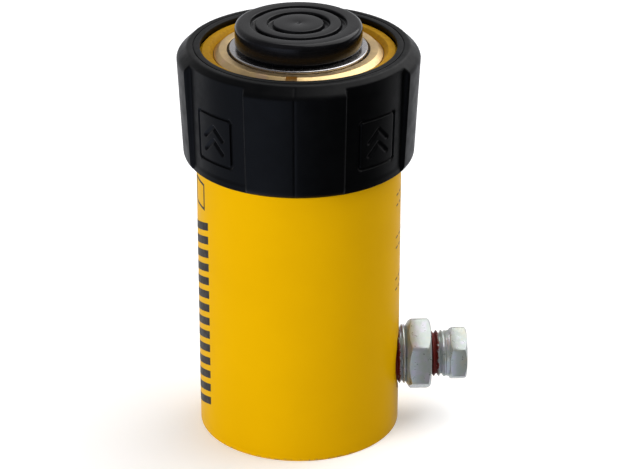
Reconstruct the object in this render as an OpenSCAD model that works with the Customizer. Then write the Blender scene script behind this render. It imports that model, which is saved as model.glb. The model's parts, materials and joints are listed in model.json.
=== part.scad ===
// Single-acting, spring-return hydraulic cylinder of the 10-ton class.
// The origin is the middle of the base's underside, +Z is up and +X runs out of the oil port.

/* [Cylinder] */
// Outside diameter of the body, which is also the major diameter of its collar thread
body_d = 57.15; // [56.6:0.05:57.15]
// Bore that the piston head runs in
bore_d = 42.9; // [42.7:0.05:43.1]
// Diameter of the plunger
plunger_d = 38.1; // [37.9:0.05:38.1]
// Travel of the plunger
stroke = 54; // [44:1:54]
// Height over the saddle with the plunger drawn in
closed_h = 121; // [121:0.1:121.6]
// Thickness of the solid base under the oil chamber
floor_h = 29; // [28.6:0.1:29]

/* [Saddle] */
// Diameter of the saddle's head
saddle_d = 35; // [33:0.5:36]
// Height of the saddle's head above the plunger
saddle_rise = 6.8; // [6.4:0.1:7]
// Depth of the two grooves in the saddle's top
saddle_groove = 1.3; // [0.6:0.1:1.8]

/* [Thread protector] */
// Largest diameter of the protector, over the top of its pads
protector_d = 67; // [66.4:0.1:67.6]
// Diameter over the sunk panels between the pads
panel_d = 62.9; // [62.4:0.1:63.2]
// Height of the protector
protector_h = 32.8; // [32.4:0.1:33.2]
// How far the protector is screwed round, in degrees
protector_turn = -3.2; // [-45:0.1:45]

/* [Oil port] */
// Height of the port's axis above the base
port_z = 19; // [18.6:0.1:19]
// Distance across the flats of the bushing's hexagon
bushing_af = 19.05; // [18.8:0.05:19.6]
// Distance across the flats of the plug's hexagon
plug_af = 14.3; // [14:0.1:14.6]

/* [Base] */
// Distance between the two base mounting holes
mount_spacing = 39.6; // [38:0.1:40.4]
// Diameter of the base mounting holes
mount_hole_d = 6.6; // [6.4:0.1:7.2]
// Depth of the base mounting holes
mount_hole_h = 12.7; // [11:0.1:13.5]

/* [Hidden] */
$fn = 96;
eps = 0.5;

// Radii and levels that several parts share
body_r = body_d / 2;
bore_r = bore_d / 2;
rod_r = plunger_d / 2;
plunger_top = closed_h - saddle_rise;
rim_h = closed_h - 7.6;

// Ring threads: pitch, depth and the running gap between a thread and its mate
inch = 25.4;
collar_pitch = inch / 14;
collar_depth = 1;
collar_turns = 13;
collar_z = 87.4;
stop_pitch = 1.5;
stop_depth = 0.8;
stop_turns = 8;
thread_gap = 0.12;
socket_pitch = inch / 8;
socket_depth = 1.6;
socket_turns = 7;
socket_r = 12.6;
pipe_pitch = inch / 18;
pipe_depth = 0.9;
pipe_taper = 1 / 32;

// Stop ring in the top of the bore
stop_r = 23.3;
stop_z = 99.5;
stop_top = rim_h + 0.2;
bearing_z = [101.6, 107.4];
bearing_r = 20.6;
wiper_z = [109.2, 112.3];
wiper_r = 21.4;

// Piston head at the foot of the plunger
head_r = bore_r - 0.1;
head_z = floor_h + 0.2;
head_top = stop_z - stroke;
seal_z = [head_z + 1.8, head_z + 8.8];
seal_r = 17.2;
wear_z = [head_z + 10.2, head_z + 14.8];
wear_r = 19.6;
backup_h = 1.5;

// Hollow of the plunger: spring room, web, and the threaded socket above the web
room_r = 13.5;
web_z = [84, 90];
web_r = 10.7;
plug_top = 96;
plug_groove_r = 8.9;
plug_groove_z = [86.4, 88.6];

// Return spring and the pins that its hooks hang on
wire_r = 1.3;
coil_r = 11;
coil_pitch = 2.75;
half_turns = 5 + 230 / 360;
pin_r = 1.75;
hook_r = 3.2;
lower_pin_z = 42;
upper_pin_z = 80;
cheek_gap = 4.4;
cheek_w = 12;
cheek_t = 8;

// Screw that holds the lower spring anchor down, let in from below
screw_r = 4;
screw_head_r = 6.5;
recess_r = 7.3;
recess_h = 9.5;
washer_h = 1;

// Port: the fitting's faces along X, and the thread radii at those faces
spot_r = 9.9;
spot_x = 27.8;
bushing_x = [17.2, 31.2, 37.7];
bushing_r = 8.55;
plug_x = [31.1, 42, 43.1, 48.3];
plug_r = 6.62;
port_end = 15.5;
bushing_thread_x = 17.6;
bushing_thread_r = bushing_r - 0.39;
socket_end = 29.1;
passage_r = 2.5;
passage_x = 11.5;

// Protector: levels of its foot and of the lip over the body's rim
lip_z = rim_h + 1.4;
foot_z = lip_z - protector_h;
lip_r = 27.05;
protector_r = protector_d / 2;
protector_bore = body_r + 0.08;
guard_depth = 0.55;
panel_r = panel_d / 2;
emblem_z = 95.5;
emblem_w = 14;
emblem_line = 0.9;

// Points of an arc in a lathe outline, from angle a0 to a1
function arc(r, z, radius, a0, a1, steps = 8) =
    [for (i = [0:steps]) let (a = a0 + (a1 - a0) * i / steps) [r + radius * cos(a), z + radius * sin(a)]];

// Ring thread in a lathe outline, upward from z; taper is the radius gained for each millimetre
function ring_thread(r, z, turns, pitch, depth, taper = 0) =
    [for (i = [0:turns - 1], step = [[0.06, 0], [0.44, 1], [0.56, 1], [0.94, 0]])
        let (rise = (i + step[0]) * pitch) [r + rise * taper - step[1] * depth, z + rise]];

function reversed(list) = [for (i = [len(list) - 1:-1:0]) list[i]];

// Plain ring from a rectangle
module ring(inner, outer, z0, z1) {
    rotate_extrude() translate([inner, z0]) square([outer - inner, z1 - z0]);
}

// Turns a lathe shape that was made along Z so that it lies along the port
module along_port() {
    translate([0, 0, port_z]) rotate([0, 90, 0]) children();
}

// Hexagon with both ends chamfered at 30 degrees; corner is the angle of one corner above the side
module chamfered_hexagon(flats, x0, x1, corner) {
    corner_r = flats / 2 / cos(30);
    face_r = flats / 2 * 0.97;
    rise = (corner_r - face_r + eps) * tan(30);
    intersection() {
        translate([0, 0, x0]) rotate([0, 0, corner]) cylinder(h = x1 - x0, r = corner_r, $fn = 6);
        rotate_extrude() polygon([
            [0, x0], [face_r, x0], [corner_r + eps, x0 + rise],
            [corner_r + eps, x1 - rise], [face_r, x1], [0, x1]
        ]);
    }
}

// Body --------------------------------------------------------------------------------------

module body_lathe() {
    edge = 0.3;
    collar_end = collar_z + collar_turns * collar_pitch;
    rotate_extrude() polygon([
        [0, 0], [body_r - edge, 0], [body_r, edge],
        each ring_thread(body_r, collar_z, collar_turns, collar_pitch, collar_depth),
        [body_r, collar_end],
        [26.1, rim_h], [24.6, rim_h], [stop_r + thread_gap, rim_h - 1.2],
        each reversed(ring_thread(stop_r + thread_gap, stop_z, stop_turns, stop_pitch, stop_depth)),
        [stop_r + thread_gap, stop_z], [bore_r, stop_z], [bore_r, floor_h], [0, floor_h]
    ]);
}

module port_hole() {
    along_port() {
        rotate_extrude() polygon([
            [0, port_end], [bushing_thread_r, port_end],
            each ring_thread(bushing_thread_r + 0.05, bushing_thread_x, 7, pipe_pitch, pipe_depth, pipe_taper),
            [bushing_r + 0.1, spot_x + eps], [0, spot_x + eps]
        ]);
        translate([0, 0, spot_x]) cylinder(h = body_r, r = spot_r);
        translate([0, 0, passage_x]) cylinder(h = 5, r = passage_r);
    }
    translate([passage_x, 0, port_z]) cylinder(h = floor_h - port_z + eps, r = passage_r);
    translate([passage_x, 0, port_z]) sphere(r = passage_r);
}

module cylinder_body() {
    color("gold") difference() {
        body_lathe();
        port_hole();
        for (side = [-1, 1])
            translate([0, side * mount_spacing / 2, -eps]) cylinder(h = mount_hole_h + eps, d = mount_hole_d);
        translate([0, 0, -eps]) cylinder(h = recess_h + eps, r = recess_r);
        cylinder(h = floor_h + eps, r = screw_r + 0.25);
    }
}

module stop_ring() {
    slot_w = 3;
    slot_turn = -96.3;
    color("darkgoldenrod") difference() {
        rotate_extrude() polygon([
            [rod_r + 0.15, stop_z + 0.05], [stop_r - 0.9, stop_z + 0.05],
            each ring_thread(stop_r, stop_z, stop_turns, stop_pitch, stop_depth),
            [stop_r, stop_z + stop_turns * stop_pitch + 0.6], [21.8, stop_top],
            [rod_r + 0.55, stop_top], [rod_r + 0.3, stop_top - 0.25],
            [rod_r + 0.3, wiper_z[1]], [wiper_r, wiper_z[1]], [wiper_r, wiper_z[0]],
            [rod_r + 0.15, wiper_z[0]],
            [rod_r + 0.15, bearing_z[1]], [bearing_r, bearing_z[1]],
            [bearing_r, bearing_z[0]], [rod_r + 0.15, bearing_z[0]]
        ]);
        for (side = [0, 180])
            rotate([0, 0, slot_turn + side])
                translate([21.3, -slot_w / 2, stop_top - 2.6]) cube([5, slot_w, 5]);
    }
}

module rod_wiper() {
    color("dimgray") rotate_extrude() polygon([
        [rod_r + 0.9, wiper_z[0] + 0.1], [wiper_r - 0.05, wiper_z[0] + 0.1],
        [wiper_r - 0.05, wiper_z[0] + 2], [rod_r + 1.2, wiper_z[0] + 2],
        [rod_r + 0.45, wiper_z[1] - 0.1], [rod_r + 0.04, wiper_z[1] - 0.1],
        [rod_r + 0.04, wiper_z[1] - 0.5], [rod_r + 0.5, wiper_z[0] + 1.4]
    ]);
}

module rod_bearing() {
    color("tan") ring(rod_r + 0.05, bearing_r - 0.05, bearing_z[0] + 0.1, bearing_z[1] - 0.1);
}

// Port fitting ------------------------------------------------------------------------------

module port_bushing() {
    corner = 56;
    color("silver") difference() {
        along_port() {
            rotate_extrude() polygon([
                [0, bushing_x[0]], [bushing_r - 1.2, bushing_x[0]],
                each ring_thread(bushing_thread_r, bushing_thread_x, 9, pipe_pitch, pipe_depth, pipe_taper),
                [bushing_r - 0.5, bushing_x[1] - 0.8], [bushing_af / 2 * 0.95, bushing_x[1]],
                [bushing_af / 2 * 0.95, bushing_x[1] + eps], [0, bushing_x[1] + eps]
            ]);
            chamfered_hexagon(bushing_af, bushing_x[1], bushing_x[2], corner);
        }
        along_port() {
            translate([0, 0, bushing_x[0] - eps]) cylinder(h = 20, r = 4);
            rotate_extrude() polygon([
                [0, socket_end], [plug_r + 0.06 + (socket_end - bushing_x[2]) * pipe_taper, socket_end],
                [plug_r + 0.06, bushing_x[2] - 0.5], [plug_r + 0.6, bushing_x[2] + 0.04], [0, bushing_x[2] + 0.04]
            ]);
        }
    }
}

module port_plug() {
    corner = 58;
    start_r = plug_r + (plug_x[0] - bushing_x[2]) * pipe_taper;
    color("lightgray") difference() {
        along_port() {
            rotate_extrude() polygon([
                [0, plug_x[0]], [start_r - 0.9, plug_x[0]],
                each ring_thread(start_r, plug_x[0] + 0.6, 7, pipe_pitch, pipe_depth, pipe_taper),
                [plug_r - 0.35, plug_x[1] - 0.3], [plug_r - 0.35, plug_x[1]], [plug_af / 2 * 0.95, plug_x[2]],
                [plug_af / 2 * 0.95, plug_x[2] + eps], [0, plug_x[2] + eps]
            ]);
            chamfered_hexagon(plug_af, plug_x[2], plug_x[3], corner);
        }
        along_port() translate([0, 0, plug_x[0] - eps]) cylinder(h = 9, r = 3.2);
    }
}

// Plunger and what rides on it --------------------------------------------------------------

module plunger() {
    edge = 0.3;
    color("gainsboro") rotate_extrude() polygon([
        [room_r, head_z], [head_r - 0.8, head_z], [head_r, head_z + 0.8],
        [head_r, seal_z[0]], [seal_r, seal_z[0]], [seal_r, seal_z[1]], [head_r, seal_z[1]],
        [head_r, wear_z[0]], [wear_r, wear_z[0]], [wear_r, wear_z[1]], [head_r, wear_z[1]],
        [head_r, head_top - 0.6], [head_r - 0.5, head_top - 0.1],
        [rod_r, head_top - 0.1],
        [rod_r, plunger_top - edge], [rod_r - edge, plunger_top],
        [socket_r + 0.5, plunger_top], [socket_r + thread_gap, plunger_top - 1],
        each reversed(ring_thread(socket_r + thread_gap, web_z[1] + 0.6, socket_turns, socket_pitch, socket_depth)),
        [socket_r + thread_gap, web_z[1]],
        [web_r, web_z[1]], [web_r, web_z[0] + 1], [room_r, web_z[0] - 1.6]
    ]);
}

module piston_bearing() {
    color("saddlebrown") ring(wear_r + 0.05, bore_r - 0.04, wear_z[0] + 0.1, wear_z[1] - 0.1);
}

// U-cup with its lips towards the oil, under the backup ring
module piston_seal() {
    top = seal_z[1] - backup_h - 0.2;
    foot = seal_z[0] + 0.15;
    outer = bore_r - 0.03;
    inner = seal_r + 0.05;
    middle = (inner + outer) / 2;
    color("steelblue") rotate_extrude() polygon([
        [inner, foot + 0.6], [inner + 0.7, foot], [middle - 0.5, foot + 2.6], [middle + 0.5, foot + 2.6],
        [outer - 0.7, foot], [outer, foot + 0.6], [outer - 0.15, foot + 3], [outer - 0.15, top],
        [inner + 0.15, top], [inner + 0.15, foot + 3]
    ]);
}

module backup_ring() {
    color("white") ring(seal_r + 0.05, bore_r - 0.06, seal_z[1] - backup_h - 0.1, seal_z[1] - 0.1);
}

// Fork with a pin hole across it, hanging below z when side is -1 and standing above it when side is 1
module fork(z, side, pin_z) {
    tip = pin_z + side * 4;
    difference() {
        intersection() {
            translate([-cheek_t / 2, -cheek_w / 2, min(z - side * 0.5, tip)])
                cube([cheek_t, cheek_w, abs(tip - z) + 0.5]);
            translate([0, 0, pin_z]) rotate([90, 0, 0])
                union() {
                    cylinder(h = cheek_w + 2, r = 4, center = true);
                    translate([-cheek_t / 2, side > 0 ? -12 : 0, -cheek_w / 2 - 1]) cube([cheek_t, 12, cheek_w + 2]);
                }
        }
        translate([-cheek_t, -cheek_gap / 2, min(z, tip + side)])
            cube([cheek_t * 2, cheek_gap, abs(tip + side - z)]);
        translate([0, 0, pin_z]) rotate([90, 0, 0]) cylinder(h = cheek_w + 2, r = pin_r + 0.05, center = true);
    }
}

module spring_plug() {
    neck_r = web_r - 0.1;
    neck_z = web_z[0] + 1;
    color("slategray") difference() {
        union() {
            rotate_extrude() polygon([
                [0, neck_z], [neck_r - 0.5, neck_z], [neck_r, neck_z + 0.5],
                [neck_r, plug_groove_z[0]], [plug_groove_r, plug_groove_z[0]],
                [plug_groove_r, plug_groove_z[1]], [neck_r, plug_groove_z[1]],
                [neck_r, web_z[1] + 0.05], [socket_r - socket_depth, web_z[1] + 0.05],
                [socket_r - socket_depth, web_z[1] + 0.9],
                [socket_r - socket_depth, web_z[1] + 0.6 + 0.56 * socket_pitch],
                [socket_r, web_z[1] + 0.6 + 0.94 * socket_pitch],
                [socket_r, web_z[1] + 0.6 + 1.06 * socket_pitch],
                [socket_r - socket_depth, web_z[1] + 0.6 + 1.44 * socket_pitch],
                [socket_r - socket_depth, plug_top], [0, plug_top]
            ]);
            fork(neck_z, -1, upper_pin_z);
        }
        translate([0, 0, plug_top - 3.5]) cylinder(h = 4, r = 8 / 2 / cos(30), $fn = 6);
    }
}

module spring_plug_seal() {
    wire = (web_r - plug_groove_r) / 2 - 0.04;
    color("black") rotate_extrude()
        translate([(web_r + plug_groove_r) / 2, (plug_groove_z[0] + plug_groove_z[1]) / 2]) circle(r = wire, $fn = 32);
}

module cross_pin(z) {
    rotate([90, 0, 0]) translate([0, z, 0]) cylinder(h = cheek_w + 1.6, r = pin_r, center = true);
}

module upper_spring_pin() {
    color("silver") cross_pin(upper_pin_z);
}

module lower_spring_pin() {
    color("silver") cross_pin(lower_pin_z);
}

// Lower spring anchor -----------------------------------------------------------------------

module spring_anchor() {
    top = 37;
    color("slategray") difference() {
        union() {
            rotate_extrude() polygon([[0, floor_h], [7.5, floor_h], [8, floor_h + 0.5], [8, top - 0.6], [7.4, top], [0, top]]);
            fork(top, 1, lower_pin_z);
        }
        translate([0, 0, floor_h - eps]) cylinder(h = 6 + eps, r = screw_r + 0.05);
    }
}

module anchor_screw() {
    head_foot = 0.8;
    head_end = recess_h - washer_h;
    color("dimgray") difference() {
        union() {
            rotate_extrude() polygon([
                [0, head_foot], [screw_head_r - 0.6, head_foot], [screw_head_r, head_foot + 0.6],
                [screw_head_r, head_end], [0, head_end]
            ]);
            translate([0, 0, head_end - 0.1]) cylinder(h = floor_h + 5.4 - head_end, r = screw_r);
        }
        translate([0, 0, head_foot - eps]) cylinder(h = 4.5 + eps, r = 6 / 2 / cos(30), $fn = 6);
    }
}

module seal_washer() {
    color("peru") ring(screw_r + 0.1, 7, recess_h - washer_h, recess_h - 0.02);
}

// Return spring -----------------------------------------------------------------------------

spring_mid = (lower_pin_z + upper_pin_z) / 2;
coil_steps = 16;
hook_steps = 8;

// Line of the coil's upper half, from the middle to the first bend of the hook
upper_coil = [for (i = [0:round(half_turns * coil_steps)])
    let (a = i / coil_steps * 360)
        [coil_r * cos(a + 90), coil_r * sin(a + 90), spring_mid + i / coil_steps * coil_pitch]];

function bezier(p, t) =
    pow(1 - t, 3) * p[0] + 3 * pow(1 - t, 2) * t * p[1] + 3 * (1 - t) * t * t * p[2] + pow(t, 3) * p[3];

coil_end = upper_coil[len(upper_coil) - 1];
hook_top = upper_pin_z + hook_r;
coil_heading = [-coil_end[1], coil_end[0], 1] / norm([coil_end[0], coil_end[1]]);
upper_bend = [for (i = [1:hook_steps])
    bezier([coil_end, coil_end + 6 * coil_heading, [6, 0, hook_top], [0, 0, hook_top]], i / hook_steps)];
upper_loop = [for (i = [1:hook_steps])
    let (a = 90 + 90 * i / hook_steps) [hook_r * cos(a), 0, upper_pin_z + hook_r * sin(a)]];
upper_half = concat(upper_coil, upper_bend, upper_loop, [[-hook_r, 0, upper_pin_z - 2.2]]);

// The lower half is the upper one turned half round the spring's level middle line
lower_half = [for (i = [len(upper_half) - 1:-1:1])
    [-upper_half[i][0], upper_half[i][1], 2 * spring_mid - upper_half[i][2]]];
spring_line = concat(lower_half, upper_half);

// Tube along a line of points: each ring stands square to the line, turned to face away from the axis
module tube(line, radius, sides) {
    last = len(line) - 1;
    rings = [for (i = [0:last])
        let (
            way = line[min(i + 1, last)] - line[max(i - 1, 0)],
            ahead = way / norm(way),
            out = norm([line[i][0], line[i][1]]) < 9 ? [0, 1, 0] : [line[i][0], line[i][1], 0],
            side = cross(ahead, out) / norm(cross(ahead, out)),
            up = cross(side, ahead)
        )
            for (k = [0:sides - 1]) line[i] + radius * (cos(360 * k / sides) * side + sin(360 * k / sides) * up)];
    walls = [for (i = [0:last - 1], k = [0:sides - 1])
        let (a = i * sides + k, b = i * sides + (k + 1) % sides)
            each [[a, b, b + sides], [a, b + sides, a + sides]]];
    ends = [[for (k = [sides - 1:-1:0]) k], [for (k = [0:sides - 1]) last * sides + k]];
    polyhedron(points = rings, faces = concat(walls, ends), convexity = 10);
}

module return_spring() {
    color("dimgray") tube(spring_line, wire_r, 8);
}

// Saddle ------------------------------------------------------------------------------------

module saddle() {
    head = saddle_d / 2;
    round_r = 1.4;
    stem_r = 10.9;
    stem_foot = 100.6;
    ring_z = 105;
    color("#202020") rotate_extrude() polygon([
        [0, stem_foot], [stem_r - 1, stem_foot], [stem_r, stem_foot + 1],
        [stem_r, ring_z], [9.1, ring_z], [9.1, ring_z + 2.1], [stem_r, ring_z + 2.1],
        [stem_r, plunger_top - 1.4], [stem_r - 0.4, plunger_top - 1], [stem_r - 0.4, plunger_top],
        [head - 1, plunger_top], [head, plunger_top + 1.2],
        each arc(head - round_r, closed_h - round_r, round_r, 0, 90),
        [13.4, closed_h], [12.7, closed_h - saddle_groove], [11.9, closed_h - saddle_groove],
        [11.5, closed_h], [8.9, closed_h], [8.1, closed_h - saddle_groove], [7.1, closed_h - saddle_groove],
        [6.7, closed_h], [0.9, closed_h], [0, closed_h - 0.4]
    ]);
}

module saddle_snap_ring() {
    color("dimgray") rotate_extrude() translate([10.1, 106.05]) circle(r = 0.93, $fn = 32);
}

// Thread protector --------------------------------------------------------------------------

module protector_lathe() {
    foot_r = 2.6;
    waist_r = protector_r - 1.35;
    shoulder_r = 1.6;
    brow_r = 1.2;
    line_r = 28.9;
    rotate_extrude() polygon([
        [protector_bore, foot_z + 0.6], [protector_bore + 0.4, foot_z],
        each arc(waist_r - foot_r, foot_z + foot_r, foot_r, -90, -3),
        each arc(protector_r - shoulder_r, lip_z - 3.5, shoulder_r, 0, 46),
        each arc(30.1, lip_z - brow_r, brow_r, 46, 90),
        [line_r + 0.3, lip_z], [line_r, lip_z - 0.3], [line_r - 0.3, lip_z],
        [lip_r + 0.3, lip_z], [lip_r, lip_z - 0.3],
        [lip_r, lip_z - 1.4], [protector_bore, lip_z - 2.9],
        each reversed(ring_thread(protector_bore + guard_depth, collar_z, collar_turns, collar_pitch, guard_depth))
    ]);
}

// Room outside the sunk panel's face, in a sector whose half angle widens outwards from root to tip
module panel_cutter() {
    far = protector_r + 3;
    root = 17.6;
    tip = 23.9;
    intersection() {
        rotate_extrude() polygon([
            [panel_r + 0.55, lip_z + 1], [far, lip_z + 1], [far, foot_z + 3],
            [protector_r - 1.3, foot_z + 3.4], [panel_r - 0.3, foot_z + 5.6]
        ]);
        linear_extrude(height = lip_z + 2) polygon([
            [30 * cos(root), -30 * sin(root)], [far * cos(tip), -far * sin(tip)], [far + 2, 0],
            [far * cos(tip), far * sin(tip)], [30 * cos(root), 30 * sin(root)]
        ]);
    }
}

// Square frame with two arrow heads in it, drawn flat around the origin
module emblem() {
    inner = emblem_w - 2 * emblem_line;
    difference() {
        square(emblem_w, center = true);
        square(inner, center = true);
    }
    for (rise = [-2.8, 1.2])
        translate([0, rise]) for (side = [-1, 1])
            polygon([
                [0, 2.4], [side * 3.6, -0.8], [side * 3.6, -2.2], [0, 1]
            ]);
}

module thread_protector() {
    color("#181a1c") rotate([0, 0, protector_turn]) difference() {
        protector_lathe();
        for (turn = [45:90:315]) rotate([0, 0, turn]) {
            panel_cutter();
            intersection() {
                ring(panel_r - 0.65, protector_r + 2, emblem_z - emblem_w, emblem_z + emblem_w);
                translate([0, 0, emblem_z]) rotate([90, 0, 90]) linear_extrude(height = 40) emblem();
            }
        }
    }
}

cylinder_body();
stop_ring();
rod_wiper();
rod_bearing();
spring_anchor();
anchor_screw();
seal_washer();
lower_spring_pin();
return_spring();
port_bushing();
plunger();
piston_bearing();
piston_seal();
backup_ring();
spring_plug();
spring_plug_seal();
upper_spring_pin();
saddle();
saddle_snap_ring();
thread_protector();
port_plug();
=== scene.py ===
"""Looks of a spring-return hydraulic cylinder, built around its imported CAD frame.

Outlines below are in millimetres, as pairs of radius and height, and become metres when a mesh is made.
"""

import json
import math

import bmesh
import bpy
import numpy as np
from mathutils import Matrix, Vector


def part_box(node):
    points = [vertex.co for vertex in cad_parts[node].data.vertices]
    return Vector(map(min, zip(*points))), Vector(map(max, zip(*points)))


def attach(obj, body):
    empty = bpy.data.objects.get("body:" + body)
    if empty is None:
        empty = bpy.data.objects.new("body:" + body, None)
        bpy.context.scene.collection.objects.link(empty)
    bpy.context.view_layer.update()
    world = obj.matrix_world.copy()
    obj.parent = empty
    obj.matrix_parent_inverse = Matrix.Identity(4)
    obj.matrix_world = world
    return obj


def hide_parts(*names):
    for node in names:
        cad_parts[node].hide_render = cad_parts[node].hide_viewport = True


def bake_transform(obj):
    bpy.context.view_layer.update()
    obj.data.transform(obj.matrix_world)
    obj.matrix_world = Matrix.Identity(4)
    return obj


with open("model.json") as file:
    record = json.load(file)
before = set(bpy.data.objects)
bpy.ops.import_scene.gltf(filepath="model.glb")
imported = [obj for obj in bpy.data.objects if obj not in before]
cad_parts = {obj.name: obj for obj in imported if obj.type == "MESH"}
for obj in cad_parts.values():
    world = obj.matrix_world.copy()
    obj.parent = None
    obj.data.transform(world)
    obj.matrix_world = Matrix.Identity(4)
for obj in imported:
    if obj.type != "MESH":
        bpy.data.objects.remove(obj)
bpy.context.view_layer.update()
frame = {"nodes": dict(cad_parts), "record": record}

MM = 0.001
RECORD = frame["record"]
BODY_OF = {node: body for body, nodes in RECORD["behaviour"]["bodies"].items() for node in nodes}


def box_mm(node):
    """Lowest and highest corner of a CAD node, in millimetres."""
    low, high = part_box(node)
    return low / MM, high / MM


# Sizes read from the frame ------------------------------------------------------------------

body_high = box_mm("cylinder_body")[1]
ring_low, ring_high = box_mm("stop_ring")
saddle_low, saddle_high = box_mm("saddle")
plunger_low, plunger_high = box_mm("plunger")
guard_low, guard_high = box_mm("thread_protector")
bushing_low, bushing_high = box_mm("port_bushing")
plug_low, plug_high = box_mm("port_plug")
anchor_low = box_mm("spring_anchor")[0]
washer_high = box_mm("seal_washer")[1]
wiper_low, wiper_high = box_mm("rod_wiper")
bearing_low, bearing_high = box_mm("rod_bearing")
coil_high = box_mm("return_spring")[1]
lower_pin_z = sum(box_mm("lower_spring_pin"), Vector()).z / 2
upper_pin_z = sum(box_mm("upper_spring_pin"), Vector()).z / 2

body_r = body_high.y
rim_z = body_high.z
floor_z = anchor_low.z
port_z = (plug_low.z + plug_high.z) / 2
plunger_top = plunger_high.z

# Sizes that no box gives --------------------------------------------------------------------

INCH = 25.4
rod_r = 19.05
collar_z = 87.4  # foot of the body's outer thread
collar_top = 111.0
collar_pitch = INCH / 14
pipe_pitch = INCH / 18
pipe_taper = 1 / 32  # gain in radius along a pipe thread


# Mesh tools ---------------------------------------------------------------------------------

def turned_angles(count, start=0.0):
    """Column angles of a turned piece in radians, from a start in degrees."""
    return math.radians(start) + np.arange(count) * (2 * math.pi / count)


def arc(r, z, radius, start, stop, steps=6):
    """Outline points along an arc about (r, z), between two angles in degrees."""
    angles = np.radians(np.linspace(start, stop, steps + 1))
    return [(r + radius * math.cos(a), z + radius * math.sin(a)) for a in angles]


def smoothstep(low, high, value):
    """Rises from 0 at low to 1 at high, level at both ends."""
    share = np.clip((value - low) / (high - low), 0, 1)
    return share * share * (3 - 2 * share)


def soft_min(a, b, width):
    """The lesser of two lengths, rounded over where they meet."""
    share = np.clip(0.5 + 0.5 * (b - a) / width, 0, 1)
    return b * (1 - share) + a * share - width * share * (1 - share)


def finish_mesh(piece, sharp=40):
    """Faces outwards, smooth shading, and hard edges where faces meet at more than the sharp angle."""
    work = bmesh.new()
    work.from_mesh(piece.data)
    bmesh.ops.recalc_face_normals(work, faces=work.faces)
    work.to_mesh(piece.data)
    work.free()
    piece.data.polygons.foreach_set("use_smooth", [True] * len(piece.data.polygons))
    piece.data.set_sharp_from_angle(angle=math.radians(sharp))
    return piece


def mesh_piece(name, points, faces, sharp=40):
    mesh = bpy.data.meshes.new(name)
    mesh.from_pydata(points, [], faces)
    piece = bpy.data.objects.new(name, mesh)
    bpy.context.scene.collection.objects.link(piece)
    return finish_mesh(piece, sharp)


def lathe(name, rows, angles, closed=False, sharp=40):
    """Turned piece about Z. A row is (radius, height), each a number or one number for each angle.

    A row of radius 0 is one point on the axis. closed joins the last row to the first, as round a ring.
    """
    points, starts, faces = [], [], []
    count = len(angles)
    for radius, height in rows:
        starts.append(len(points))
        if np.isscalar(radius) and radius == 0:
            points.append((0.0, 0.0, height * MM))
            continue
        radius = np.broadcast_to(radius, count)
        height = np.broadcast_to(height, count)
        ring = np.stack([radius * np.cos(angles), radius * np.sin(angles), height], axis=1) * MM
        points.extend(map(tuple, ring))
    starts.append(len(points))
    single = [starts[i + 1] - starts[i] == 1 for i in range(len(rows))]
    pairs = [(i, i + 1) for i in range(len(rows) - 1)] + ([(len(rows) - 1, 0)] if closed else [])
    for i, j in pairs:
        for k in range(count):
            n = (k + 1) % count
            if single[i]:
                faces.append((starts[i], starts[j] + n, starts[j] + k))
            elif single[j]:
                faces.append((starts[i] + k, starts[i] + n, starts[j]))
            else:
                faces.append((starts[i] + k, starts[i] + n, starts[j] + n, starts[j] + k))
    return mesh_piece(name, points, faces, sharp)


def thread_rows(r, z0, z1, pitch, depth, angles, per_turn=10, taper=0.0):
    """Rows of a right-hand V thread cut by depth into radius r. A negative depth cuts outwards.

    The groove runs out to nothing over its first and last run_out millimetres.
    """
    count = max(2, round((z1 - z0) / pitch * per_turn))
    run_out = 0.6 * pitch
    rows = []
    for z in np.linspace(z0, z1, count + 1):
        phase = (z / pitch - angles / (2 * math.pi)) % 1
        groove = np.clip(np.abs(2 * phase - 1) * 1.3 - 0.15, 0, 1)
        fade = min(1.0, (z - z0) / run_out, (z1 - z) / run_out)
        rows.append((r + (z - z0) * taper - depth * groove * fade, z))
    return rows


def ridges(radius, depth, z, step, count, first_in=0):
    """Rows in turn at a radius and at depth less, a coarse ring thread for places that show little."""
    return [(radius - depth * ((i + first_in) % 2), z + step * i) for i in range(count)]


def hexagon_rows(flats, x0, x1, angles, corner, dome=0.0):
    """Rows of a hexagon's sides with a 30 degree chamfer at each end.

    corner is the angle of one corner in degrees, and dome raises the middle of the outer face.
    """
    half = flats / 2
    face_r = half * 0.96
    corner_r = half / math.cos(math.pi / 6) * 0.985
    side = half / np.cos((angles - math.radians(corner)) % (math.pi / 3) - math.pi / 6)
    side = soft_min(side, corner_r, 0.25)
    rise = (side - face_r) * math.tan(math.radians(30))
    blend = 0.12  # rounding of the edges
    lead = 0.12  # share of the chamfer where its first row lies
    lead_r = face_r + (side - face_r) * lead
    return [
        (face_r - blend, x0), (lead_r, x0 + rise * lead + blend * 0.15),
        (side - blend * 0.5, x0 + rise - blend * 0.3), (side, x0 + rise + blend),
        (side, x1 - rise - blend), (side - blend * 0.5, x1 - rise + blend * 0.3),
        (lead_r, x1 - rise * lead - blend * 0.15),
        (face_r - blend, x1), (face_r * 0.5, x1 + dome * 0.75),
    ]


def lay_along_port(piece):
    """Turns a piece that was made about Z so that it lies along the port's axis."""
    piece.data.transform(Matrix.Translation((0, 0, port_z * MM)) @ Matrix.Rotation(math.pi / 2, 4, "Y"))
    return finish_mesh(piece)


def carve(piece, cutters, sharp=40):
    """Cuts the cutters out of a piece and deletes them."""
    for cutter in cutters:
        cut = piece.modifiers.new("cut", "BOOLEAN")
        cut.object = cutter
        cut.operation = "DIFFERENCE"
        cut.solver = "EXACT"
    evaluated = piece.evaluated_get(bpy.context.evaluated_depsgraph_get())
    carved = bpy.data.meshes.new_from_object(evaluated)
    piece.modifiers.clear()
    piece.data = carved
    for cutter in cutters:
        bpy.data.objects.remove(cutter)
    return finish_mesh(piece, sharp)


def stands_for(piece, node):
    """The piece takes a CAD node's place: it joins the node's body, and the node is hidden."""
    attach(piece, BODY_OF[node])
    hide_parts(node)
    return piece


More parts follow.
